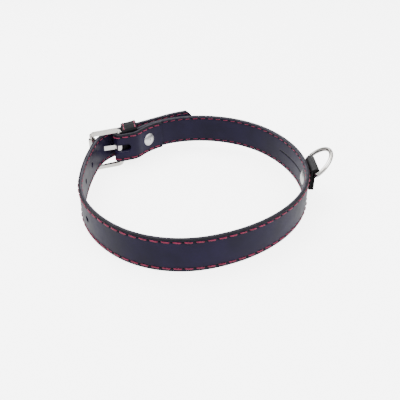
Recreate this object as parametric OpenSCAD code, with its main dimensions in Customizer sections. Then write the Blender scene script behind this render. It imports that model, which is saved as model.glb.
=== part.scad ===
// Flat leather buckle collar, closed to a ring and lying on its lower edge.
// Units are millimetres. +Z is up across the strap width, the buckle is at
// back left (-X, +Y) and the leash ring is on the right (+X).

/* [Strap] */
// Strap width from lower edge to upper edge.
strap_w = 20; // [15:0.5:30]
// Thickness of each of the two leather plies.
ply_t = 1; // [0.8:0.1:1.5]
// Length of the pointed tip.
tip_len = 7; // [6:0.5:16]
// Radius of the arcs that shape the tip.
tip_r = 20; // [15:1:60]
// Diameter of the adjustment holes.
hole_d = 3.5; // [2.5:0.1:5]
// Spacing of the adjustment holes.
hole_pitch = 21.5; // [15:0.5:30]
// Number of free holes between the buckle and the ring side.
free_holes = 4; // [2:1:6]

/* [Stitching] */
// Distance of each stitch line from the leather edge.
stitch_margin = 1.9; // [1.5:0.1:3]
// Thread width.
thread_w = 0.8; // [0.5:0.1:1.2]
// How far the thread stands out of the leather.
thread_h = 0.2; // [0.1:0.05:0.4]

/* [Buckle] */
// Distance between the heel bar and the end bar.
bar_gap = 18.5; // [14:0.5:26]
// Diameter of both bars.
bar_d = 3; // [2.5:0.1:4]
// Overall height of the buckle frame.
frame_h = 28; // [24:0.5:36]
// Corner radius of the frame.
frame_corner_r = 3.5; // [2:0.5:5]
// Thickness of the frame's side bars, from front to back.
side_t = 2.4; // [2:0.1:4]
// Height of the frame's side bars.
side_h = 2.6; // [2:0.1:4]
// Outer diameter of the roller.
roller_d = 4.6; // [4:0.1:6]
// Length of the roller.
roller_len = 20.9; // [16:0.1:22]
// Diameter of the wider mouth at each end of the roller.
roller_mouth_d = 4; // [3.2:0.1:5]
// Depth of that mouth.
roller_mouth = 1.5; // [0.5:0.1:4]
// Prong width.
prong_w = 3.2; // [2.4:0.1:4]
// Prong thickness.
prong_t = 1.6; // [1.2:0.1:2]
// Prong length from the heel bar axis to the tip.
prong_len = 20.4; // [18:0.2:28]
// Slope of the prong over the roller, in degrees.
prong_slope = 7; // [5:0.5:12]

/* [Keeper] */
// Keeper length along the strap.
keeper_len = 11.6; // [8:0.2:14]
// How far the keeper's outer side lies ahead of its inner side.
keeper_skew = 4.5; // [0:0.5:8]
// Leather thickness of the keeper.
keeper_t = 1.1; // [0.8:0.1:1.6]

/* [Rivets] */
// Diameter of the domed rivet caps.
cap_d = 9; // [7:0.5:11]
// Height of the domes.
cap_h = 1.2; // [0.8:0.1:2]
// Diameter of the rivet posts.
post_d = 3; // [2.5:0.1:4]

/* [Leash ring] */
// Inner width of the ring.
ring_inner_w = 22; // [16:0.5:30]
// Wire diameter.
ring_wire_d = 2.5; // [2:0.1:4]
// Bend radius of the two corners, along the wire's middle.
ring_bend_r = 1.5; // [1.5:0.1:4]
// Rest angle of the ring above level, in degrees.
ring_rest = 45; // [0:1:60]
// Width of the leather tab that holds the ring.
tab_w = 19; // [14:0.5:20]
// Leather thickness of the tab.
tab_t = 1.5; // [1.2:0.1:2]

/* [Hidden] */
$fn = 64;

black = [0.05, 0.05, 0.06];
red = [0.7, 0.08, 0.08];
nickel = [0.75, 0.75, 0.77];

// The working plan has its own zero; this is the middle of the part in it.
plan_middle = [2.15, 15.34];
// Height of the strap's lower edge: the buckle frame is taller than the strap.
strap_z = (frame_h - strap_w) / 2;
mid_z = frame_h / 2;
turn_step = 2.5;
cut = 1;

// Heel bar axis, strap heading where it wraps the bar, and frame heading.
heel = [-56, 54];
heel_heading = 20;
frame_heading = 25;
wrap_r = bar_d / 2 + 0.1 + ply_t;

// Runs are [length, turn in degrees]; a left turn is positive.
// fold_runs is the riveted turn-back and main_runs the whole ring, both
// starting at the heel bar; main_runs ends at the pointed tip.
fold_runs = [[8.5, 6], [7, 35], [21, -27]];
main_runs = [[6, 0], [10, 32.5], [11.5, -13], [46, -47.5], [48, -45],
             [56, -38], [42, -33], [60, -40], [50, -53.5], [57, -45.5],
             [49.5, -14], [27, -46.5], [39, 0], [12, -11], [12, 0]];

// Distances along the ring from the heel bar.
tab_at = 175.6;
engaged_at = 443.6;
rivet_on_main = 22;
rivet_on_fold = 24;

// ---- path functions: a pose is [x, y, heading] ----

function along(p, l, t) = t == 0
    ? [p.x + l * cos(p[2]), p.y + l * sin(p[2]), p[2]]
    : let (r = l * 180 / (PI * t))
      [p.x + r * (sin(p[2] + t) - sin(p[2])),
       p.y - r * (cos(p[2] + t) - cos(p[2])), p[2] + t];

function pose_at(p, runs, s, i = 0) = i == len(runs) - 1 || s <= runs[i][0]
    ? along(p, s, runs[i][1] * s / runs[i][0])
    : pose_at(along(p, runs[i][0], runs[i][1]), runs, s - runs[i][0], i + 1);

function total(runs, i = 0) = i == len(runs) ? 0 : runs[i][0] + total(runs, i + 1);

function run_ends(runs, i = 0, s = 0) = i == len(runs)
    ? [s]
    : concat([s], run_ends(runs, i + 1, s + runs[i][0]));

function backwards(runs) = [for (i = [len(runs) - 1 : -1 : 0]) [runs[i][0], -runs[i][1]]];

function reversed(p) = [p.x, p.y, p[2] + 180];

// Poses along the runs between two distances, one for every turn_step degrees.
function poses(p, runs, from, to) = let (ends = run_ends(runs)) concat(
    [for (i = [0 : len(runs) - 1])
        let (a = max(from, ends[i]), b = min(to, ends[i + 1]),
             n = max(1, ceil(abs(runs[i][1]) * (b - a) / runs[i][0] / turn_step)))
        if (b > a)
            for (k = [0 : n - 1]) pose_at(p, runs, a + (b - a) * k / n)],
    [pose_at(p, runs, to)]);

// Point at distance d to the left of a pose.
function side(p, d) = [p.x - d * sin(p[2]), p.y + d * cos(p[2])];

main_start = concat(side([heel.x, heel.y, heel_heading], wrap_r), heel_heading);
fold_start = concat(side([heel.x, heel.y, heel_heading], -wrap_r), heel_heading);
fold_len = total(fold_runs);
wrap_len = PI * wrap_r;
// The whole strap: turn-back end, heel wrap, ring, tip.
strap_start = reversed(pose_at(fold_start, fold_runs, fold_len));
strap_runs = concat(backwards(fold_runs), [[wrap_len, -180]], main_runs);
strap_len = total(strap_runs);
main_len = total(main_runs);
to_main = fold_len + wrap_len;
tip_pose = pose_at(main_start, main_runs, main_len);
tab_pose = pose_at(main_start, main_runs, tab_at);

// Rivet axis through turn-back and ring, square to both on average.
fold_foot = pose_at(fold_start, fold_runs, rivet_on_fold);
main_foot = pose_at(main_start, main_runs, rivet_on_main);
rivet_pose = (fold_foot + main_foot) / 2;
half_gap = norm([fold_foot.x - main_foot.x, fold_foot.y - main_foot.y]) / 2;
rivet_in = half_gap + ply_t + 0.42;
rivet_out = half_gap + ply_t + 0.2;

// Keeper box in axes turned to the strap heading there, from the heel bar.
keeper_heading = 35;
keeper_from = 2.5;
keeper_in = [-0.95, 10.1];
keeper_clear = 0.6;
keeper_slant = keeper_skew / (keeper_in[1] - keeper_in[0]);

// Prong slot round the heel bar, in frame axes.
slot_w = prong_w + 1.4;
slot_end = 7.2;

// Tab profile: the two tails lie on the strap and the loop holds the ring bar.
tab_foot_z = 10.6;
ring_axis = [3.4, 22];
tab_loop_r = ring_wire_d / 2 + 0.1 + tab_t / 2;
tab_start = [0.3 + tab_t / 2, tab_foot_z, 90];
tab_runs = [[6.4, 0], [2.5, -5.7], [2.5, 5.7], [tab_loop_r * 240 * PI / 180, -240],
            [1.21, 0], [1.5 * 60 * PI / 180, 60], [7.67, 0]];
tab_outer_x = 0.46 + 2 * tab_t;
tab_rivet_in = ply_t * 2 + 0.15;

// ---- placing ----

// Everything drawn in the working plan.
module plan()
    translate([-plan_middle.x, -plan_middle.y, 0]) children();

// Local axes at a pose: +X outward (left of travel), +Y back along the path.
module at_pose(p, d = 0)
    translate(concat(side(p, d), 0)) rotate([0, 0, p[2] + 90]) children();

// Frame axes: +X from the heel bar to the end bar, -Y outward.
module at_frame()
    translate([heel.x, heel.y, 0]) rotate([0, 0, frame_heading + 180]) children();

module band(list, d0, d1)
    polygon(concat([for (p = list) side(p, d0)],
                   [for (i = [len(list) - 1 : -1 : 0]) side(list[i], d1)]));

// Rod of radius r along +X.
module x_rod(r, l)
    rotate([0, 90, 0]) cylinder(r = r, h = l);

module rounded_plate(size, r) {
    translate([r, 0]) square([size.x - 2 * r, size.y]);
    translate([0, r]) square([size.x, size.y - 2 * r]);
    for (x = [r, size.x - r], y = [r, size.y - r])
        translate([x, y]) circle(r);
}

// ---- strap ----

// Arcs of the tip, square to the leather, removed outside the pointed shape.
module tip_cut() {
    half = strap_w / 2;
    chord = norm([tip_len, half]);
    deep = sqrt(tip_r * tip_r - chord * chord / 4);
    centre = [-tip_len / 2 - deep * half / chord, half / 2 - deep * tip_len / chord];
    translate([tip_pose.x, tip_pose.y, mid_z]) rotate([0, 0, tip_pose[2]])
        rotate([90, 0, 0]) difference() {
            translate([-tip_len, -half - cut, -5]) cube([tip_len + 5, strap_w + 2 * cut, 10]);
            intersection() {
                translate([centre.x, centre.y, -6]) cylinder(r = tip_r, h = 12);
                translate([centre.x, -centre.y, -6]) cylinder(r = tip_r, h = 12);
            }
        }
}

module free_hole(s)
    at_pose(pose_at(main_start, main_runs, s)) translate([-3, 0, mid_z])
        x_rod(hole_d / 2, 6);

// Slanted opening that the prong passes through, with room for it to swing.
module engaged_hole() {
    room = 0.25;
    half = prong_t / 2 + 0.8;
    at_frame() translate([0, -1, mid_z]) rotate([0, 0, -prong_slope - 3])
        translate([5, -half, -prong_w / 2 - room]) cube([11, 2 * half, prong_w + 2 * room]);
}

module prong_slot()
    at_frame() translate([0, 0, mid_z]) {
        translate([slot_w / 2 - slot_end, -4.2, -slot_w / 2])
            cube([slot_end - slot_w / 2 + 6, 8.7, slot_w]);
        translate([slot_w / 2 - slot_end, 4.5, 0]) rotate([90, 0, 0])
            cylinder(d = slot_w, h = 8.7);
    }

module strap_cuts() {
    tip_cut();
    for (i = [-1 : free_holes])
        if (i != 0) free_hole(engaged_at - i * hole_pitch);
    engaged_hole();
    prong_slot();
    at_pose(rivet_pose) translate([-5, 0, mid_z]) x_rod(post_d / 2 + 0.05, 8.5);
    at_pose(tab_pose) translate([-3, 0, mid_z]) x_rod(post_d / 2 + 0.05, 6);
}

module ply(d0, d1)
    plan() difference() {
        translate([0, 0, strap_z]) linear_extrude(strap_w)
            band(poses(strap_start, strap_runs, 0, strap_len), d0, d1);
        strap_cuts();
    }

module strap_face() color(black) ply(0, ply_t);

module strap_lining() color(black) ply(-ply_t, 0);

// A thread line on one face, between two distances, centred at height z.
module thread_line(from, to, d, z)
    plan() translate([0, 0, z - thread_w / 2]) linear_extrude(thread_w)
        band(poses(strap_start, strap_runs, from, to), min(d, d + thread_h), max(d, d + thread_h));

thread_end = strap_len - tip_len - 1;
thread_z = [strap_z + stitch_margin, strap_z + strap_w - stitch_margin];

module thread_face_upper()
    color(red) thread_line(stitch_margin, thread_end, ply_t, thread_z[1]);

module thread_face_lower()
    color(red) thread_line(stitch_margin, thread_end, ply_t, thread_z[0]);

module thread_lining_upper()
    color(red) thread_line(to_main + 2, thread_end, -ply_t - thread_h, thread_z[1]);

module thread_lining_lower()
    color(red) thread_line(to_main + 2, thread_end, -ply_t - thread_h, thread_z[0]);

// ---- keeper ----

// Keeper section grown by g, with its ends cut on the slant.
module keeper_block(g, x0, l, r)
    translate([heel.x, heel.y, 0]) rotate([0, 0, keeper_heading]) intersection() {
        translate([x0 - keeper_skew, keeper_in[0] - g, strap_z - keeper_clear - g])
            rotate([90, 0, 90]) linear_extrude(l + 3 * keeper_skew)
                rounded_plate([keeper_in[1] - keeper_in[0] + 2 * g,
                               strap_w + 2 * keeper_clear + 2 * g], r);
        linear_extrude(2 * frame_h, center = true)
            polygon([for (c = [[0, -5], [l, -5], [l, 15], [0, 15]])
                [x0 + c.x + keeper_slant * (c.y - keeper_in[0]), c.y]]);
    }

module keeper_loop()
    color(black) plan() difference() {
        keeper_block(keeper_t, keeper_from, keeper_len, 1.5);
        keeper_block(0, keeper_from - cut, keeper_len + 2 * cut, 0.5);
    }

module keeper_thread(x0)
    color(red) plan() difference() {
        keeper_block(keeper_t + thread_h, x0 - thread_w / 2, thread_w, 1.5 + thread_h);
        keeper_block(keeper_t, x0 - cut, 2 * cut, 1.5);
    }

module keeper_thread_front() keeper_thread(keeper_from + 1.5);

module keeper_thread_rear() keeper_thread(keeper_from + keeper_len - 1.5);

// ---- buckle ----

module buckle_frame()
    color(nickel) plan() at_frame() {
        difference() {
            translate([-2, side_t / 2, 0]) rotate([90, 0, 0]) linear_extrude(side_t)
                rounded_plate([bar_gap + 3.5, frame_h], frame_corner_r);
            translate([-2 - cut, -side_t, side_h])
                cube([bar_gap + 3.5 + 2 * cut, 2 * side_t, frame_h - 2 * side_h]);
        }
        for (x = [0, bar_gap])
            translate([x, 0, side_h / 2]) cylinder(d = bar_d, h = frame_h - side_h);
    }

module buckle_roller()
    color(nickel) plan() at_frame() translate([bar_gap, 0, side_h + 0.1]) difference() {
        cylinder(d = roller_d, h = roller_len);
        translate([0, 0, -cut]) cylinder(d = bar_d + 0.1, h = roller_len + 2 * cut);
        for (z = [-cut, roller_len - roller_mouth])
            translate([0, 0, z]) cylinder(d = roller_mouth_d, h = roller_mouth + cut);
    }

module buckle_prong() {
    eye_d = bar_d + 1.9;
    color(nickel) plan() at_frame() translate([0, 0, mid_z]) difference() {
        union() {
            translate([0, 0, -2]) cylinder(d = eye_d, h = 4);
            translate([0, -1, 0]) rotate([0, 0, -prong_slope]) {
                translate([0, -prong_t / 2, -prong_w / 2])
                    cube([prong_len - prong_w / 2, prong_t, prong_w]);
                translate([prong_len - prong_w / 2, prong_t / 2, 0]) rotate([90, 0, 0])
                    cylinder(d = prong_w, h = prong_t);
            }
        }
        translate([0, 0, -3]) cylinder(d = bar_d + 0.1, h = 6);
    }
}

// ---- rivets ----

cap_r = (cap_d * cap_d / 4 + cap_h * cap_h) / (2 * cap_h);

// Dome with its flat face at x = 0, rising along +X.
module dome()
    rotate([0, 90, 0]) rotate_extrude() intersection() {
        translate([0, cap_h - cap_r]) circle(cap_r, $fn = 400);
        square([cap_d, cap_h + cut]);
    }

module rivet_caps()
    color(nickel) plan() {
        at_pose(rivet_pose) translate([-rivet_in, 0, mid_z]) mirror([1, 0, 0]) dome();
        at_pose(tab_pose, ply_t) translate([tab_outer_x, 0, mid_z]) dome();
    }

// Post with its own dome at the far end, running out to the loose cap.
module post(l)
    union() {
        x_rod(post_d / 2, l);
        mirror([1, 0, 0]) dome();
    }

module buckle_rivet_post()
    color(nickel) plan() at_pose(rivet_pose) translate([rivet_out, 0, mid_z])
        mirror([1, 0, 0]) post(rivet_in + rivet_out);

module tab_rivet_post()
    color(nickel) plan() at_pose(tab_pose, ply_t) translate([-tab_rivet_in, 0, mid_z])
        post(tab_rivet_in + tab_outer_x);

// ---- leash ring ----

module ring_tab()
    color(black) plan() at_pose(tab_pose, ply_t) difference() {
        rotate([90, 0, 0]) linear_extrude(tab_w, center = true)
            band(poses(tab_start, tab_runs, 0, total(tab_runs)), -tab_t / 2, tab_t / 2);
        translate([-cut, 0, mid_z]) x_rod(post_d / 2 + 0.05, tab_outer_x + 2 * cut);
    }

// Round wire bent by an angle about the origin, starting on +X.
module bend(r, angle)
    rotate_extrude(angle = angle) translate([r, 0]) circle(d = ring_wire_d);

module d_ring() {
    half = (ring_inner_w + ring_wire_d) / 2;
    straight = half - ring_bend_r;
    color(nickel) plan() at_pose(tab_pose, ply_t)
        translate([ring_axis[0], 0, ring_axis[1]]) rotate([0, -ring_rest, 0]) {
            rotate([90, 0, 0]) cylinder(d = ring_wire_d, h = 2 * straight, center = true);
            translate([ring_bend_r, straight, 0]) rotate([0, 0, 90]) bend(ring_bend_r, 90);
            translate([ring_bend_r, -straight, 0]) rotate([0, 0, 180]) bend(ring_bend_r, 90);
            translate([ring_bend_r, 0, 0]) rotate([0, 0, -90]) bend(half, 180);
        }
}

strap_face();
strap_lining();
thread_face_upper();
thread_face_lower();
thread_lining_upper();
thread_lining_lower();
keeper_loop();
keeper_thread_front();
keeper_thread_rear();
buckle_frame();
buckle_roller();
buckle_prong();
rivet_caps();
buckle_rivet_post();
ring_tab();
d_ring();
tab_rivet_post();
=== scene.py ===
"""A flat leather buckle collar, lying closed on its lower edge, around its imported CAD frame."""

import math

import bmesh
import bpy
from mathutils import Matrix, Vector

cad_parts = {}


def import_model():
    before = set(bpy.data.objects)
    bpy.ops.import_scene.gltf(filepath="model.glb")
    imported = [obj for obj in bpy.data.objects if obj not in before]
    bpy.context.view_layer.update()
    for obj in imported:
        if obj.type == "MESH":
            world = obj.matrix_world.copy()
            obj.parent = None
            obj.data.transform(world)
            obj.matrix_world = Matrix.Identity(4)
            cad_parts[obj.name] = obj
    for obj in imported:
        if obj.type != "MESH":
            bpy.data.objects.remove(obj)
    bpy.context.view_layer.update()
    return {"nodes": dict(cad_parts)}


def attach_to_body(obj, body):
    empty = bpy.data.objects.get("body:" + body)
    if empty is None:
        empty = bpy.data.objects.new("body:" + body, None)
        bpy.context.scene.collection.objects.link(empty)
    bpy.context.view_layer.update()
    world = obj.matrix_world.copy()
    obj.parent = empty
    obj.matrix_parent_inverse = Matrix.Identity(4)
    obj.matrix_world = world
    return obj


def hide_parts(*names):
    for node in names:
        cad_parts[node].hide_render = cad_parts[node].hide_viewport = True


MM = 0.001

# ---- sizes in millimetres and degrees, the same as in the CAD source ----

STRAP_W = 20.0
PLY_T = 1.0
STITCH_MARGIN = 1.9
TIP_LEN = 7.0
TIP_R = 20.0
HOLE_R = 1.75
HOLE_CUT = 6.0
HOLE_PITCH = 21.5
ENGAGED_AT = 443.6
FREE_HOLES = (-1, 1, 2, 3, 4)

PLAN_MIDDLE = (2.15, 15.34)
MID_Z = 14.0
HEEL = (-56.0, 54.0)
HEEL_HEADING = 20.0
FRAME_HEADING = 25.0
WRAP_R = 2.6

FOLD_RUNS = [(8.5, 6), (7, 35), (21, -27)]
MAIN_RUNS = [(6, 0), (10, 32.5), (11.5, -13), (46, -47.5), (48, -45), (56, -38), (42, -33),
             (60, -40), (50, -53.5), (57, -45.5), (49.5, -14), (27, -46.5), (39, 0), (12, -11),
             (12, 0)]

PRONG_W = 3.2
PRONG_T = 1.6
PRONG_SLOPE = 7.0
PRONG_SWING = 3.0
PRONG_SIDE = -1.0
# The prong's hole: its two ends from the heel bar and the room round the prong.
PRONG_CUT = (5.0, 16.0)
PRONG_ROOM_T = 0.8
PRONG_ROOM_W = 0.25
ROLLER_R = 2.3
SLOT_W = 4.6
SLOT_END = 7.2
SLOT_OPEN = 6.0
SLOT_DEEP = (-4.2, 4.5)

KEEPER_HEADING = 35.0
KEEPER_FROM = 2.5
KEEPER_LEN = 11.6
KEEPER_T = 1.1
KEEPER_IN = (-0.95, 10.1)
KEEPER_CLEAR = 0.6
KEEPER_SKEW = 4.5
KEEPER_SLANT = KEEPER_SKEW / (KEEPER_IN[1] - KEEPER_IN[0])
KEEPER_CORNER_R = 0.5

TAB_AT = 175.6
TAB_W = 19.0
TAB_T = 1.5
TAB_START = (0.3 + TAB_T / 2, 10.6, 90.0)
TAB_LOOP_R = 2.1
TAB_RUNS = [(6.4, 0), (2.5, -5.7), (2.5, 5.7), (math.radians(240) * TAB_LOOP_R, -240),
            (1.21, 0), (math.radians(60) * 1.5, 60), (7.67, 0)]

# ---- stitching, in millimetres ----

PITCH = 5.7
ROW_Z = STRAP_W / 2 - STITCH_MARGIN
# The first needle pit from the turn-back's end, and the room kept free at the tip.
FIRST_PIT = 1.4
TIP_FREE = 3.0
FACE_THREAD_R = 0.40
FACE_GAP = 1.1
LINING_THREAD_R = 0.24
LINING_GAP = 1.9
# The lining shows no stitches on the turn-back and this far past the heel bar.
LINING_BARE = 1.5
STITCH_LIFT = 0.16
STITCH_SLANT = 0.16
PIT_LONG = 1.0
PIT_WIDE = 0.62
PIT_DEEP = 0.6
# How strongly the needle pits and the lining's slit are darkened in colour, as painted shade.
PIT_SHADE = 2.4
GROOVE_WIDE = 0.9
GROOVE_DEEP = 0.12

KEEPER_MARGIN = 1.5
KEEPER_ROWS = (KEEPER_MARGIN, KEEPER_LEN - KEEPER_MARGIN)
KEEPER_PITCH = 4.6
KEEPER_GAP = 0.7
KEEPER_THREAD_R = 0.36
KEEPER_STITCH_LIFT = 0.10
KEEPER_STITCH_SLANT = 0.12
KEEPER_GROOVE_WIDE = 0.8

# Shape of one stitch: rings along it and points round it.
STITCH_RINGS = 11
STITCH_SIDES = 8
# Its ends dive DIVE_DEEP mm from this share of its half length on, and taper by a share.
DIVE_FROM = 0.76
DIVE_DEEP = 0.75
END_TAPER = 0.35
# Twist in radians for each half length; its depth and the flattening are shares of the radius.
TWIST = 9.0
TWIST_DEEP = 0.13
FLATTEN = 0.8

# ---- leather details, in millimetres ----

EDGE_R = 0.38
SEAM_R = 0.14
SEAM_GAP = 0.01
RIM = 0.35
RIM_BEND = (0.1, 0.12)
KEEPER_ARCH = 1.1
# Near the tip the outer EDGE_ZONE of the strap keeps its shape while half the width is over
# TIP_SQUEEZE, and at the very tip TIP_LEAST is left of that half.
EDGE_ZONE = 3.0
TIP_SQUEEZE = 3.6
TIP_LEAST = 0.35

# A cut along the middle of the lining, ending at the tab's rivet; its groove is also darkened in
# colour as painted shade.
SLIT = (135.0, 171.2)
SLIT_Z = 0.3
SLIT_WIDE = 0.42
SLIT_DEEP = 0.5
SLIT_TAPER = 4.0

# Where the leather has its points: steps along it in mm and degrees, and heights on a ply's face.
RING_STEP = 1.3
RING_TURN = 5.0
RING_LEAST = 0.12
TAB_STEP = 0.6
TAB_TURN = 8.0
PIT_STEPS = (-1.0, -0.7, -0.45, -0.2, 0.0, 0.2, 0.45, 0.7, 1.0)
ROW_STEPS = (1.0, 0.75, 0.52, 0.32, 0.16, 0.0, -0.16, -0.32, -0.52, -0.75, -1.0)
MIDDLE_LEVELS = [6.0, 4.0, 2.0, 0.9]
SLIT_LEVELS = [0.6, 0.45, 0.3, 0.15, 0.0, -0.3, -0.8]

# Wall of the roller that stays bright round the painted shade in its mouth.
MOUTH_RIM = 0.15

# ---- stage ----

# The floor meets the buckle's foot and the front of the strap at these distances along Y.
FLOOR_TOUCHES = (38.0, -85.0)
FLOOR_GAP = 0.05
FLOOR_HALF = 40000.0

SKY_STRENGTH = 2.2
# (height from straight down at 0 to straight up at 1, grey)
SKY_BANDS = [(0.0, 0.25), (0.12, 0.7), (0.34, 0.85), (0.40, 0.35), (0.46, 0.06), (0.60, 0.10),
             (0.65, 0.9), (0.70, 0.9), (0.745, 0.10), (0.785, 0.15), (0.83, 1.0)]
# (name, place and size in metres, watts)
LIGHTS = (
    ("key", (-0.35, 0.30, 0.75), 0.7, 7.0),
    ("fill", (0.55, -0.45, 0.60), 0.8, 3.5),
)

CAMERA_AT = (-2.15, -283.34, 171.45)
CAMERA_DOWN = 32.0
CAMERA_LENS = 46.1


# ---- paths: a pose is (x, y, heading) ----

def along(pose, length, turn):
    """The pose after a run of that length and left turn."""
    x, y, heading = pose
    a = math.radians(heading)
    if turn == 0:
        return x + length * math.cos(a), y + length * math.sin(a), heading
    r = length / math.radians(turn)
    b = math.radians(heading + turn)
    return x + r * (math.sin(b) - math.sin(a)), y - r * (math.cos(b) - math.cos(a)), heading + turn


class Path:
    """Runs of constant curvature from a start pose."""

    def __init__(self, start, runs):
        self.runs = runs
        self.poses = [start]
        self.ends = [0.0]
        for length, turn in runs:
            self.poses.append(along(self.poses[-1], length, turn))
            self.ends.append(self.ends[-1] + length)
        self.length = self.ends[-1]

    def at(self, s):
        """The pose at a distance from the start."""
        for i, (length, turn) in enumerate(self.runs):
            if s <= self.ends[i + 1] or i == len(self.runs) - 1:
                t = (s - self.ends[i]) / length
                return along(self.poses[i], length * t, turn * t)

    def samples(self, step, turn_step):
        """Distances along the path, closer together where it turns tightly."""
        out = [0.0]
        for i, (length, turn) in enumerate(self.runs):
            n = max(1, math.ceil(length / step), math.ceil(abs(turn) / turn_step))
            out += [self.ends[i] + length * (k + 1) / n for k in range(n)]
        return out


def side(pose, d):
    """The point at distance d to the left of a pose."""
    a = math.radians(pose[2])
    return pose[0] - d * math.sin(a), pose[1] + d * math.cos(a)


def heel_start(d):
    """The pose beside the heel bar at distance d to the left of its axis."""
    return (*side((*HEEL, HEEL_HEADING), d), HEEL_HEADING)


def strap_path():
    """The whole strap, from turn-back end to tip, and the distance where its ring starts."""
    fold = Path(heel_start(-WRAP_R), FOLD_RUNS)
    x, y, heading = fold.at(fold.length)
    wrap = math.pi * WRAP_R
    backwards = [(length, -turn) for length, turn in reversed(FOLD_RUNS)]
    runs = backwards + [(wrap, -180.0)] + MAIN_RUNS
    return Path((x, y, heading + 180.0), runs), fold.length + wrap


STRAP, MAIN_FROM = strap_path()
MAIN = Path(heel_start(WRAP_R), MAIN_RUNS)
# Distances of the needle pits along the strap.
PIT_COUNT = 1 + int((STRAP.length - TIP_FREE - FIRST_PIT) / PITCH)
PITS = [FIRST_PIT + k * PITCH for k in range(PIT_COUNT)]


def world(x, y, z):
    """A plan point in the row frame, in metres."""
    return Vector(((x - PLAN_MIDDLE[0]) * MM, (y - PLAN_MIDDLE[1]) * MM, z * MM))


def axes(x, y, heading):
    """Matrix of local millimetre axes, +X along a heading, with z as it is."""
    shift = Matrix.Translation(world(x, y, 0))
    return shift @ Matrix.Rotation(math.radians(heading), 4, "Z") @ Matrix.Scale(MM, 4)


# ---- mesh helpers ----

def make_object(name, verts, faces, materials, face_slots=None, smooth=True):
    """A mesh object in the scene, with a material slot number for each face."""
    mesh = bpy.data.meshes.new(name)
    mesh.from_pydata(verts, [], faces)
    for m in materials:
        mesh.materials.append(m)
    if face_slots:
        mesh.polygons.foreach_set("material_index", face_slots)
    mesh.polygons.foreach_set("use_smooth", [smooth] * len(mesh.polygons))
    mesh.update()
    obj = bpy.data.objects.new(name, mesh)
    bpy.context.scene.collection.objects.link(obj)
    return obj


def loft(rings, closed_ends=True):
    """Vertices and faces joining rings that have the same number of points."""
    n = len(rings[0])
    verts = [p for ring in rings for p in ring]
    faces = []
    for i in range(len(rings) - 1):
        for j in range(n):
            k = (j + 1) % n
            faces.append((i * n + j, i * n + k, (i + 1) * n + k, (i + 1) * n + j))
    if closed_ends:
        last = (len(rings) - 1) * n
        faces.append(tuple(reversed(range(n))))
        faces.append(tuple(last + j for j in range(n)))
    return verts, faces


def leather_slots(on_face, ring_count):
    """Slots of a closed loft: 0 between two points of a leather face, 1 for its edges and ends."""
    n = len(on_face)
    around = [0 if on_face[j] and on_face[(j + 1) % n] else 1 for j in range(n)]
    return around * (ring_count - 1) + [1, 1]


def fix_normals(obj):
    """Turns all faces outward."""
    bm = bmesh.new()
    bm.from_mesh(obj.data)
    bmesh.ops.recalc_face_normals(bm, faces=bm.faces)
    bm.to_mesh(obj.data)
    bm.free()


def soften(obj, width_mm):
    """Rounds the sharp edges of a piece."""
    bevel = obj.modifiers.new("soft_edges", "BEVEL")
    bevel.width = width_mm * MM
    bevel.segments = 3
    bevel.limit_method = "ANGLE"
    bevel.angle_limit = math.radians(35)


# ---- materials ----

def set_stops(ramp, stops):
    """Sets the (position, colour) stops of a colour ramp node."""
    elements = ramp.color_ramp.elements
    while len(elements) < len(stops):
        elements.new(0.5)
    for element, (position, colour) in zip(elements, stops):
        element.position = position
        element.color = (*colour, 1.0)


class Nodes:
    """A short way to write a material's nodes."""

    def __init__(self, name):
        self.material = bpy.data.materials.new(name)
        self.material.use_nodes = True
        self.tree = self.material.node_tree
        self.shader = self.tree.nodes["Principled BSDF"]
        self.coords = self.add("ShaderNodeTexCoord").outputs["Object"]

    def add(self, kind, **settings):
        """A new node; a setting that starts with in_ is the value of an input."""
        node = self.tree.nodes.new(kind)
        for key, value in settings.items():
            if key.startswith("in_"):
                node.inputs[key[3:].replace("_", " ")].default_value = value
            else:
                setattr(node, key, value)
        return node

    def link(self, a, b):
        self.tree.links.new(a, b)

    def noise(self, scale, detail=3.0, rough=0.5):
        node = self.add("ShaderNodeTexNoise", in_Scale=scale, in_Detail=detail, in_Roughness=rough)
        self.link(self.coords, node.inputs["Vector"])
        return node.outputs["Fac"]

    def cells(self, scale):
        """Distance to the edges of irregular cells, for leather pores."""
        node = self.add("ShaderNodeTexVoronoi", in_Scale=scale, feature="DISTANCE_TO_EDGE")
        self.link(self.coords, node.inputs["Vector"])
        return node.outputs["Distance"]

    def ramp(self, fac, stops):
        node = self.add("ShaderNodeValToRGB")
        self.link(fac, node.inputs["Fac"])
        set_stops(node, stops)
        return node.outputs["Color"]

    def to_range(self, fac, low, high, from_low=0.0, from_high=1.0):
        node = self.add("ShaderNodeMapRange", in_From_Min=from_low, in_From_Max=from_high,
                        in_To_Min=low, in_To_Max=high)
        self.link(fac, node.inputs["Value"])
        return node.outputs["Result"]

    def bump(self, height, strength, distance_mm, normal=None):
        node = self.add("ShaderNodeBump", in_Strength=strength, in_Distance=distance_mm * MM)
        self.link(height, node.inputs["Height"])
        if normal:
            self.link(normal, node.inputs["Normal"])
        return node.outputs["Normal"]

    def mix(self, fac, a, b):
        node = self.add("ShaderNodeMix", data_type="RGBA")
        for value, socket in ((fac, node.inputs[0]), (a, node.inputs[6]), (b, node.inputs[7])):
            if isinstance(value, tuple):
                socket.default_value = (*value, 1.0)
            else:
                self.link(value, socket)
        return node.outputs[2]

    def attribute(self, name):
        return self.add("ShaderNodeAttribute", attribute_name=name).outputs["Fac"]

    def into(self, socket, value):
        self.link(value, self.shader.inputs[socket])

    def set(self, **values):
        for key, value in values.items():
            self.shader.inputs[key.replace("_", " ")].default_value = value


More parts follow.
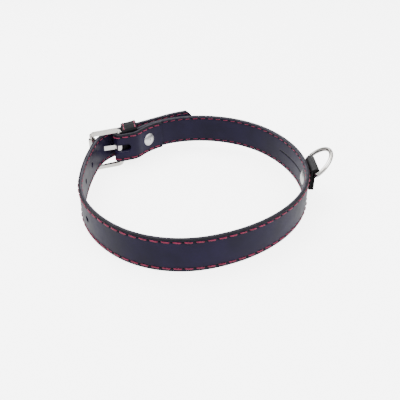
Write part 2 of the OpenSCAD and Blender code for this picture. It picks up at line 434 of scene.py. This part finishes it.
def leather(name, dark, light, rough, grain=1.0, gloss=0.25, pits=False):
    """Finished leather: pebble grain, fine wrinkles, slow colour change and uneven gloss; with pits,
    painted shade in the needle pits and the lining's slit.
    """
    n = Nodes(name)
    colour = n.ramp(n.noise(60.0, 4.0), [(0.35, dark), (0.68, light)])
    pores = n.cells(1500.0)
    wrinkles = n.noise(900.0, 5.0, 0.65)
    slow = n.noise(140.0, 2.0)
    colour = n.mix(n.to_range(pores, 0.35, 0.0, 0.0, 0.12), colour, tuple(0.4 * c for c in dark))
    # Painted shade: the colour goes near black in the needle pits and the lining's slit, where shade
    # falls in the hollows.
    if pits:
        colour = n.mix(n.attribute("pit_and_shade"), colour, (0.002, 0.002, 0.003))
    n.into("Base Color", colour)
    n.into("Roughness", n.to_range(n.noise(220.0, 3.0), rough - 0.05, rough + 0.09))
    normal = n.bump(slow, 0.10 * grain, 0.6)
    normal = n.bump(wrinkles, 0.16 * grain, 0.10, normal)
    normal = n.bump(pores, 0.22 * grain, 0.06, normal)
    n.into("Normal", normal)
    n.set(Specular_IOR_Level=gloss)
    return n.material


def cut_edge(name, dark, light):
    """Dyed and rubbed leather edge: fibres along the cut with paler worn spots."""
    n = Nodes(name)
    n.into("Base Color", n.ramp(n.noise(320.0, 5.0, 0.7), [(0.3, dark), (0.75, light)]))
    n.into("Roughness", n.to_range(n.noise(400.0, 3.0), 0.4, 0.62))
    n.into("Normal", n.bump(n.noise(1400.0, 6.0, 0.75), 0.35, 0.10))
    n.set(Specular_IOR_Level=0.14)
    return n.material


def thread():
    """Waxed red thread: twisted fibres with darker valleys."""
    n = Nodes("red_thread")
    fibres = n.noise(500.0, 4.0, 0.6)
    n.into("Base Color", n.ramp(fibres, [(0.3, (0.14, 0.002, 0.022)), (0.7, (0.32, 0.006, 0.070))]))
    n.into("Roughness", n.to_range(n.noise(900.0), 0.42, 0.6))
    n.into("Normal", n.bump(n.noise(3500.0, 4.0, 0.7), 0.4, 0.06))
    n.set(Sheen_Weight=0.25, Sheen_Roughness=0.4)
    return n.material


def nickel(name, rough, dark, light):
    """Nickel plate: slight ripple from casting, fine handling marks and uneven polish."""
    n = Nodes(name)
    n.into("Base Color", n.ramp(n.noise(120.0, 3.0), [(0.3, dark), (0.75, light)]))
    n.into("Roughness", n.to_range(n.noise(600.0, 5.0, 0.7), rough - 0.04, rough + 0.10))
    normal = n.bump(n.noise(180.0, 2.0), 0.10, 0.4)
    n.into("Normal", n.bump(n.noise(2600.0, 3.0), 0.05, 0.03, normal))
    n.set(Metallic=1.0)
    return n.material


def floor_paper():
    """White paper that gives light of its own, to come out almost as pale as the photo's ground."""
    n = Nodes("floor_paper")
    cloud = n.noise(6.0, 2.0)
    n.into("Base Color", n.ramp(cloud, [(0.3, (0.90, 0.90, 0.905)), (0.7, (0.93, 0.93, 0.935))]))
    n.into("Roughness", n.to_range(n.noise(40.0), 0.75, 0.9))
    n.set(Emission_Color=(1.0, 1.0, 1.0, 1.0), Emission_Strength=4.5)
    return n.material


# ---- strap ----

def half_height(s):
    """Half the strap's width at a distance along it: full, then curved in to the pointed tip."""
    x = s - STRAP.length
    full = STRAP_W / 2
    if x <= -TIP_LEN:
        return full
    chord = math.hypot(TIP_LEN, full)
    deep = math.sqrt(TIP_R ** 2 - chord ** 2 / 4)
    cx = -TIP_LEN / 2 - deep * full / chord
    cy = full / 2 - deep * TIP_LEN / chord
    return max(TIP_LEAST, cy + math.sqrt(max(0.0, TIP_R ** 2 - (x - cx) ** 2)))


def level(z, s):
    """Height above the strap's middle of a point that has height z where the strap is full."""
    half = half_height(s)
    full = STRAP_W / 2
    k = min(1.0, half / TIP_SQUEEZE)
    inner = full - EDGE_ZONE
    if abs(z) >= inner:
        return math.copysign(half - (full - abs(z)) * k, z)
    return z / inner * (half - EDGE_ZONE * k)


def bump_down(x, wide):
    """A smooth hollow: 1 in the middle, 0 beyond its width."""
    t = min(1.0, abs(x) / wide)
    return (1 - t * t) ** 2


def section(sign, slit):
    """Cross-section of one ply as (distance from the seam, height, on the leather face)."""
    full = STRAP_W / 2
    edge = [(SEAM_GAP, full - SEAM_R), (SEAM_R, full), (PLY_T - EDGE_R, full)]
    for a in (75, 50, 25, 0):
        a = math.radians(a)
        edge.append((PLY_T - EDGE_R + EDGE_R * math.cos(a), full - EDGE_R + EDGE_R * math.sin(a)))
    upper = [ROW_Z + d for d in ROW_STEPS] + MIDDLE_LEVELS
    if slit:
        face = upper + SLIT_LEVELS + [-z for z in reversed(upper[:-1])]
    else:
        face = upper + [-z for z in reversed(upper)]
    points = [(d, z, False) for d, z in edge]
    points += [(PLY_T, z, True) for z in face]
    points += [(d, -z, False) for d, z in reversed(edge)]
    return [(sign * d, z, on_face) for d, z, on_face in points]


def ply_distances():
    """Where a ply has its cross-sections: closer at bends, needle pits and the tip."""
    tip = STRAP.length
    wanted = set(STRAP.samples(RING_STEP, RING_TURN))
    for p in PITS:
        wanted |= {p + d for d in PIT_STEPS}
    wanted |= {tip - TIP_LEN * (1 - math.cos(math.radians(a))) for a in range(5, 90, 5)}
    kept = [0.0]
    for s in sorted(s for s in wanted if 0 < s <= tip):
        if s - kept[-1] > RING_LEAST:
            kept.append(s)
    kept[-1] = tip
    return kept


def slit_depth(s):
    """How deep the cut in the lining is at a distance along the strap, from 0 to 1."""
    main_s = s - MAIN_FROM
    if not SLIT[0] < main_s < SLIT[1]:
        return 0.0
    return min(1.0, (main_s - SLIT[0]) / SLIT_TAPER)


def ply(name, sign, leather_material, edge_material, slit=False):
    """One leather ply along the strap, with stitch grooves and needle pits pressed into its face, and
    a mask of painted shade for them.
    """
    points = section(sign, slit)
    rings, pit_shade_values = [], []
    for s in ply_distances():
        pose = STRAP.at(s)
        near = bump_down(min(abs(s - p) for p in PITS), PIT_LONG)
        slit_deep = slit_depth(s) if slit else 0.0
        ring = []
        for d, z, on_face in points:
            pit_and_shade = 0.0
            if on_face:
                across = abs(z) - ROW_Z
                pit_and_shade = near * bump_down(across, PIT_WIDE)
                d -= sign * (GROOVE_DEEP * bump_down(across, GROOVE_WIDE) + PIT_DEEP * pit_and_shade)
                line = slit_deep * bump_down(z - SLIT_Z, SLIT_WIDE)
                d -= sign * SLIT_DEEP * line
                # The slit's groove joins the pits in the mask of painted shade.
                pit_and_shade = max(pit_and_shade, line)
            ring.append(world(*side(pose, d), MID_Z + level(z, s)))
            pit_shade_values.append(min(1.0, PIT_SHADE * pit_and_shade))
        rings.append(ring)
    verts, faces = loft(rings)
    slots = leather_slots([on_face for _, _, on_face in points], len(rings))
    obj = make_object(name, verts, faces, [leather_material, edge_material], slots)
    # The mask of painted shade, which the leather's colour reads.
    obj.data.attributes.new("pit_and_shade", "FLOAT", "POINT").data.foreach_set("value", pit_shade_values)
    fix_normals(obj)
    return obj


def box_mesh(bm, matrix, low, high):
    """A box between two corners in local axes."""
    for v in bmesh.ops.create_cube(bm, size=1.0)["verts"]:
        corner = Vector(((c + 0.5) * (h - l) + l for c, l, h in zip(v.co, low, high)))
        v.co = matrix @ corner


def rod_mesh(bm, matrix, r, length):
    """A rod along local +X, centred on the origin."""
    turn = Matrix.Rotation(math.radians(90), 4, "Y")
    bmesh.ops.create_cone(bm, cap_ends=True, segments=40, radius1=r, radius2=r, depth=length,
                          matrix=matrix @ turn)


def slab_mesh(bm, matrix, outline, low, high):
    """A flat outline in local X and Z, made thick along local Y."""
    bottom = [bm.verts.new(matrix @ Vector((x, low, z))) for x, z in outline]
    top = [bm.verts.new(matrix @ Vector((x, high, z))) for x, z in outline]
    bm.faces.new(bottom)
    bm.faces.new(list(reversed(top)))
    for i in range(len(outline)):
        j = (i + 1) % len(outline)
        bm.faces.new((bottom[j], bottom[i], top[i], top[j]))


def strap_cutters():
    """Solids that cut the adjustment holes, the prong's slanted hole and the slot at the heel bar."""
    bm = bmesh.new()
    middle = Matrix.Translation((0, 0, MID_Z))
    for k in FREE_HOLES:
        x, y, heading = MAIN.at(ENGAGED_AT - k * HOLE_PITCH)
        rod_mesh(bm, axes(x, y, heading + 90) @ middle, HOLE_R, HOLE_CUT)

    at_heel = axes(*HEEL, FRAME_HEADING + 180)
    tilt = Matrix.Rotation(math.radians(-PRONG_SLOPE - PRONG_SWING), 4, "Z")
    prong = Matrix.Translation((0, PRONG_SIDE, MID_Z)) @ tilt
    half_t = PRONG_T / 2 + PRONG_ROOM_T
    half_w = PRONG_W / 2 + PRONG_ROOM_W
    low, high = ((x, k * half_t, k * half_w) for x, k in zip(PRONG_CUT, (-1, 1)))
    box_mesh(bm, at_heel @ prong, low, high)

    r = SLOT_W / 2
    outline = [(SLOT_OPEN, -r), (SLOT_OPEN, r)]
    for a in range(90, 271, 10):
        a = math.radians(a)
        outline.append((r - SLOT_END + r * math.cos(a), r * math.sin(a)))
    slab_mesh(bm, at_heel @ middle, outline, *SLOT_DEEP)

    bmesh.ops.recalc_face_normals(bm, faces=bm.faces)
    mesh = bpy.data.meshes.new("strap_cutters")
    bm.to_mesh(mesh)
    bm.free()
    obj = bpy.data.objects.new("strap_cutters", mesh)
    bpy.context.scene.collection.objects.link(obj)
    return obj


def cut_with(obj, cutter):
    """Cuts obj and keeps the result as its mesh."""
    cut = obj.modifiers.new("holes", "BOOLEAN")
    cut.operation = "DIFFERENCE"
    cut.object = cutter
    cut.solver = "EXACT"
    graph = bpy.context.evaluated_depsgraph_get()
    mesh = bpy.data.meshes.new_from_object(obj.evaluated_get(graph))
    obj.modifiers.clear()
    obj.data = mesh


# ---- stitches ----

def stitch_rings(place, length, radius, lift, slant):
    """A twisted thread lying on a surface, its ends diving into the needle holes.

    place(u, v, w) gives a point u along, v across and w out of the surface.
    """
    out = []
    for i in range(STITCH_RINGS):
        t = 2 * i / (STITCH_RINGS - 1) - 1
        u = t * length / 2
        dive = max(0.0, abs(t) - DIVE_FROM) / (1 - DIVE_FROM)
        height = lift * (1 - t ** 4) - DIVE_DEEP * dive ** 1.5
        thick = radius * (1.0 - END_TAPER * t ** 6)
        ring = []
        for k in range(STITCH_SIDES):
            a = 2 * math.pi * k / STITCH_SIDES
            r = thick * (1 + TWIST_DEEP * math.cos(2 * a + TWIST * t))
            ring.append(place(u, slant * t + r * math.cos(a), height + r * FLATTEN * math.sin(a)))
        out.append(ring)
    return out


def join_lofts(name, lofts, material):
    """One object from many closed lofts."""
    verts, faces = [], []
    for rings in lofts:
        v, f = loft(rings)
        faces += [tuple(i + len(verts) for i in face) for face in f]
        verts += v
    obj = make_object(name, verts, faces, [material])
    fix_normals(obj)
    return obj


def strap_row(name, sign, row, radius, gap, material, skip_to=0.0):
    """The stitches of one row on one face, between each two needle pits past a distance."""
    lofts = []
    for a, b in zip(PITS, PITS[1:]):
        middle = (a + b) / 2
        if middle < skip_to:
            continue

        def place(u, v, w):
            s = middle + u
            z = level(row * (ROW_Z + v), s)
            return world(*side(STRAP.at(s), sign * (PLY_T + w)), MID_Z + z)

        lofts.append(stitch_rings(place, PITCH - gap, radius, STITCH_LIFT, STITCH_SLANT * row))
    return join_lofts(name, lofts, material)


# ---- keeper ----

def keeper_outline(grow, r):
    """Points round the keeper's section as (across, up): round corners and a crowned top."""
    y0, y1 = KEEPER_IN[0] - grow, KEEPER_IN[1] + grow
    half_z = STRAP_W / 2 + KEEPER_CLEAR + grow
    z0, z1 = MID_Z - half_z, MID_Z + half_z
    # Each corner's middle and first angle, then where the side after it ends and its steps.
    corners = (
        (y1 - r, z1 - r, 0, (y0 + r, z1), 6),
        (y0 + r, z1 - r, 90, (y0, z0 + r), 12),
        (y0 + r, z0 + r, 180, (y1 - r, z0), 6),
        (y1 - r, z0 + r, 270, (y1, z1 - r), 12),
    )
    points = []
    for cy, cz, start, side_end, steps in corners:
        for k in range(7):
            a = math.radians(start + 15 * k)
            points.append((cy + r * math.cos(a), cz + r * math.sin(a)))
        y, z = points[-1]
        for k in range(1, steps):
            t = k / steps
            points.append((y + (side_end[0] - y) * t, z + (side_end[1] - z) * t))
    middle = (y0 + y1) / 2
    half = (y1 - y0) / 2

    def crown(y, z):
        return KEEPER_ARCH * max(0.0, 1 - ((y - middle) / half) ** 2) if z > z1 - r else 0.0

    return [(y, z + crown(y, z)) for y, z in points]


def keeper_point(x, y, z):
    """A point in the keeper's axes, moved along with the slant of its ends."""
    return axes(*HEEL, KEEPER_HEADING) @ Vector((x + KEEPER_SLANT * (y - KEEPER_IN[0]), y, z))


def keeper_profile():
    """The keeper's thickness along its length: points as (along, out) on the outer face."""
    near = [(0.0, KEEPER_T - RIM), (RIM * 0.3, KEEPER_T - RIM * 0.3), (RIM, KEEPER_T)]
    far = [(KEEPER_LEN - x, out) for x, out in reversed(near)]
    middle = [(KEEPER_LEN * k / 10, KEEPER_T) for k in range(1, 10)]
    return near + middle + far


def keeper(leather_material, edge_material):
    """The keeper's leather band, a little crowned on top, with rounded rims."""
    outer = keeper_profile()
    profile = outer + [(KEEPER_LEN, 0.0), (0.0, 0.0)]
    rings = []
    for x, out in profile:
        groove = 0.0
        if out == KEEPER_T:
            groove = GROOVE_DEEP * max(bump_down(x - row, KEEPER_GROOVE_WIDE) for row in KEEPER_ROWS)
        outline = keeper_outline(out - groove, KEEPER_CORNER_R + out)
        rings.append([keeper_point(KEEPER_FROM + x, y, z) for y, z in outline])
    n = len(rings[0])
    verts, faces = loft(rings + [rings[0]], closed_ends=False)
    wrap = n * len(profile)
    verts = verts[:wrap]
    faces = [tuple(i % wrap for i in face) for face in faces]
    slots = []
    for i in range(len(profile)):
        on_face = 2 <= i <= len(outer) - 3
        slots += [0 if on_face else 1] * n
    obj = make_object("keeper_leather", verts, faces, [leather_material, edge_material], slots)
    fix_normals(obj)
    return obj


def keeper_stitches(name, x, material):
    """One row of stitches round the three open sides of the keeper."""
    outline = keeper_outline(KEEPER_T, KEEPER_CORNER_R + KEEPER_T)
    closed = outline + [outline[0]]
    lengths = [0.0]
    for (y0, z0), (y1, z1) in zip(closed, closed[1:]):
        lengths.append(lengths[-1] + math.hypot(y1 - y0, z1 - z0))
    total = lengths[-1]

    def at(s):
        """Place and outward direction at a distance round the section."""
        s %= total
        i = max(k for k in range(len(outline)) if lengths[k] <= s)
        (y0, z0), (y1, z1) = closed[i], closed[i + 1]
        span = lengths[i + 1] - lengths[i]
        t = (s - lengths[i]) / span
        return y0 + (y1 - y0) * t, z0 + (z1 - z0) * t, (z1 - z0) / span, -(y1 - y0) / span

    count = round(total / KEEPER_PITCH)
    pitch = total / count
    lofts = []
    for k in range(count):
        middle = (k + 0.5) * pitch

        def place(u, v, w):
            y, z, out_y, out_z = at(middle + u)
            return keeper_point(KEEPER_FROM + x + v, y + out_y * w, z + out_z * w)

        inner_side = at(middle)[2] <= -0.9
        if not inner_side:
            lofts.append(stitch_rings(place, pitch - KEEPER_GAP, KEEPER_THREAD_R,
                                      KEEPER_STITCH_LIFT, KEEPER_STITCH_SLANT))
    return join_lofts(name, lofts, material)


# ---- ring tab ----

def ring_tab(leather_material, edge_material):
    """The folded leather tab: two tails flat on the strap and a loop round the ring's bar."""
    pose = MAIN.at(TAB_AT)
    matrix = axes(*side(pose, PLY_T), pose[2] + 90)
    half = TAB_W / 2
    top = TAB_T / 2
    across = [RIM - half] + [half * k / 6 for k in range(-5, 6)] + [half - RIM]
    in_y, in_d = RIM_BEND
    rim = [(half - in_y, top - in_d), (half, top - RIM), (half, RIM - top), (half - in_y, in_d - top)]
    outline = [(y, top, True) for y in across]
    outline += [(y, d, False) for y, d in rim]
    outline += [(y, -top, True) for y in reversed(across)]
    outline += [(-y, d, False) for y, d in reversed(rim)]
    path = Path(TAB_START, TAB_RUNS)
    rings = []
    for s in path.samples(TAB_STEP, TAB_TURN):
        ring = []
        for y, d, _ in outline:
            x, z = side(path.at(s), d)
            ring.append(matrix @ Vector((x, y, z)))
        rings.append(ring)
    verts, faces = loft(rings)
    slots = leather_slots([on_face for _, _, on_face in outline], len(rings))
    obj = make_object("ring_tab_leather", verts, faces, [leather_material, edge_material], slots)
    fix_normals(obj)
    return obj


# ---- hardware ----

def finish_hardware(frame, names, material, round_mm=0.25):
    """The CAD nodes that stay: a plated finish and softened edges."""
    for name in names:
        obj = frame["nodes"][name]
        obj.data.materials.clear()
        obj.data.materials.append(material)
        soften(obj, round_mm)


def paint_mouth_shade(roller):
    """Painted shade in the hollow ends of the roller: the faces of its mouths get a near-black
    colour, where shade falls.
    """
    mesh = roller.data
    # A near-black copy of the leather-edge shader, used here as the painted shade.
    mesh.materials.append(cut_edge("roller_mouth", (0.002, 0.002, 0.002), (0.006, 0.005, 0.005)))
    xs = [v.co.x for v in mesh.vertices]
    ys = [v.co.y for v in mesh.vertices]
    axis = Vector(((min(xs) + max(xs)) / 2, (min(ys) + max(ys)) / 2))
    for face in mesh.polygons:
        if (face.center.xy - axis).length < (ROLLER_R - MOUTH_RIM) * MM:
            face.material_index = 1


# ---- stage ----

def add_stage():
    """A pale floor that the buckle and the front of the strap both rest on."""
    back, front = FLOOR_TOUCHES
    slope = (MID_Z - STRAP_W / 2) / (back - front)
    corners = [(x * FLOOR_HALF, y * FLOOR_HALF) for x, y in ((-1, -1), (1, -1), (1, 1), (-1, 1))]
    verts = [Vector((x, y, slope * (back - y) - FLOOR_GAP)) * MM for x, y in corners]
    floor = make_object("floor", verts, [(0, 1, 2, 3)], [floor_paper()], smooth=False)
    # The camera sees the floor's own light, but it neither lights the collar nor shows in the metal.
    floor.visible_diffuse = False
    floor.visible_glossy = False


def add_world():
    """A studio sky of grey bands by height, which the bright metal mirrors."""
    sky = bpy.data.worlds.new("studio")
    bpy.context.scene.world = sky
    sky.use_nodes = True
    nodes = sky.node_tree.nodes
    link = sky.node_tree.links.new
    background = nodes["Background"]
    background.inputs["Strength"].default_value = SKY_STRENGTH
    coords = nodes.new("ShaderNodeTexCoord")
    parts = nodes.new("ShaderNodeSeparateXYZ")
    height = nodes.new("ShaderNodeMapRange")
    height.inputs["From Min"].default_value = -1.0
    ramp = nodes.new("ShaderNodeValToRGB")
    set_stops(ramp, [(position, (grey, grey, grey)) for position, grey in SKY_BANDS])
    link(coords.outputs["Generated"], parts.inputs["Vector"])
    link(parts.outputs["Z"], height.inputs["Value"])
    link(height.outputs["Result"], ramp.inputs["Fac"])
    link(ramp.outputs["Color"], background.inputs["Color"])


def add_lights():
    """Two round soft lights, aimed at the collar."""
    for name, place, size, power in LIGHTS:
        data = bpy.data.lights.new(name, "AREA")
        data.shape = "DISK"
        data.size = size
        data.energy = power
        light = bpy.data.objects.new(name, data)
        light.location = place
        light.rotation_euler = (-Vector(place)).to_track_quat("-Z", "Y").to_euler()
        bpy.context.scene.collection.objects.link(light)


def add_camera():
    """At the photograph's angle, in front of the buckle and the ring."""
    data = bpy.data.cameras.new("camera")
    data.sensor_width = 36.0
    data.lens = CAMERA_LENS
    data.clip_start = 0.01
    camera = bpy.data.objects.new("camera", data)
    camera.location = [c * MM for c in CAMERA_AT]
    camera.rotation_euler = (math.radians(90 - CAMERA_DOWN), 0.0, 0.0)
    bpy.context.scene.collection.objects.link(camera)
    bpy.context.scene.camera = camera


# ---- build ----

def attach(piece, node):
    """Puts a leather or thread piece in the place of a CAD node, on the strap's body."""
    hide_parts(node)
    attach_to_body(piece, "strap")


def build_strap(red):
    """The two plies with their holes and the four rows of stitches."""
    face_leather = leather("strap_leather", (0.008, 0.005, 0.024), (0.014, 0.009, 0.042), 0.36,
                           gloss=0.2, pits=True)
    back_leather = leather("lining_leather", (0.008, 0.005, 0.022), (0.013, 0.009, 0.036), 0.38,
                           grain=0.8, gloss=0.2, pits=True)
    face_edge = cut_edge("face_edge", (0.006, 0.006, 0.009), (0.020, 0.019, 0.026))
    back_edge = cut_edge("lining_edge", (0.020, 0.019, 0.028), (0.075, 0.070, 0.088))
    face = ply("strap_face_leather", 1, face_leather, face_edge)
    back = ply("strap_lining_leather", -1, back_leather, back_edge, slit=True)
    cutters = strap_cutters()
    for obj in (face, back):
        cut_with(obj, cutters)
    bpy.data.objects.remove(cutters)
    attach(face, "strap_face")
    attach(back, "strap_lining")

    for ply_name, sign, radius, gap, skip_to in (
        ("face", 1, FACE_THREAD_R, FACE_GAP, 0.0),
        ("lining", -1, LINING_THREAD_R, LINING_GAP, MAIN_FROM + LINING_BARE),
    ):
        for level_name, row in (("upper", 1), ("lower", -1)):
            node = f"thread_{ply_name}_{level_name}"
            stitches = strap_row(node + "_stitches", sign, row, radius, gap, red, skip_to)
            attach(stitches, node)


def build_keeper_and_tab(red):
    """The stitched keeper loop and the folded tab, from the same dyed leather; the keeper's copy is
    darker as painted shade.
    """
    # Painted shade: the keeper's leather is a darker copy of the tab's, so that its top does not look
    # lit.
    keeper_leather = leather("keeper_leather", (0.003, 0.003, 0.005), (0.006, 0.006, 0.009), 0.34,
                             gloss=0.10)
    tab_leather = leather("tab_leather", (0.005, 0.005, 0.006), (0.010, 0.010, 0.013), 0.40,
                          gloss=0.30)
    edge = cut_edge("keeper_edge", (0.003, 0.003, 0.004), (0.012, 0.011, 0.014))
    attach(keeper(keeper_leather, edge), "keeper_loop")
    for end, x in zip(("front", "rear"), KEEPER_ROWS):
        stitches = keeper_stitches("keeper_stitches_" + end, x, red)
        attach(stitches, "keeper_thread_" + end)
    attach(ring_tab(tab_leather, edge), "ring_tab")


def build_hardware(frame):
    """Plated metal: polished buckle and ring, satin rivets."""
    plate = nickel("bright_nickel", 0.10, (0.66, 0.63, 0.58), (0.84, 0.83, 0.81))
    satin = nickel("satin_nickel", 0.32, (0.90, 0.89, 0.89), (0.97, 0.96, 0.97))
    finish_hardware(frame, ("buckle_roller", "d_ring"), plate)
    finish_hardware(frame, ("buckle_frame", "buckle_prong"), plate, round_mm=0.5)
    paint_mouth_shade(frame["nodes"]["buckle_roller"])
    finish_hardware(frame, ("rivet_caps", "buckle_rivet_post", "tab_rivet_post"), satin)


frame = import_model()
add_camera()
add_world()
add_lights()
add_stage()
thread_red = thread()
build_strap(thread_red)
build_keeper_and_tab(thread_red)
build_hardware(frame)
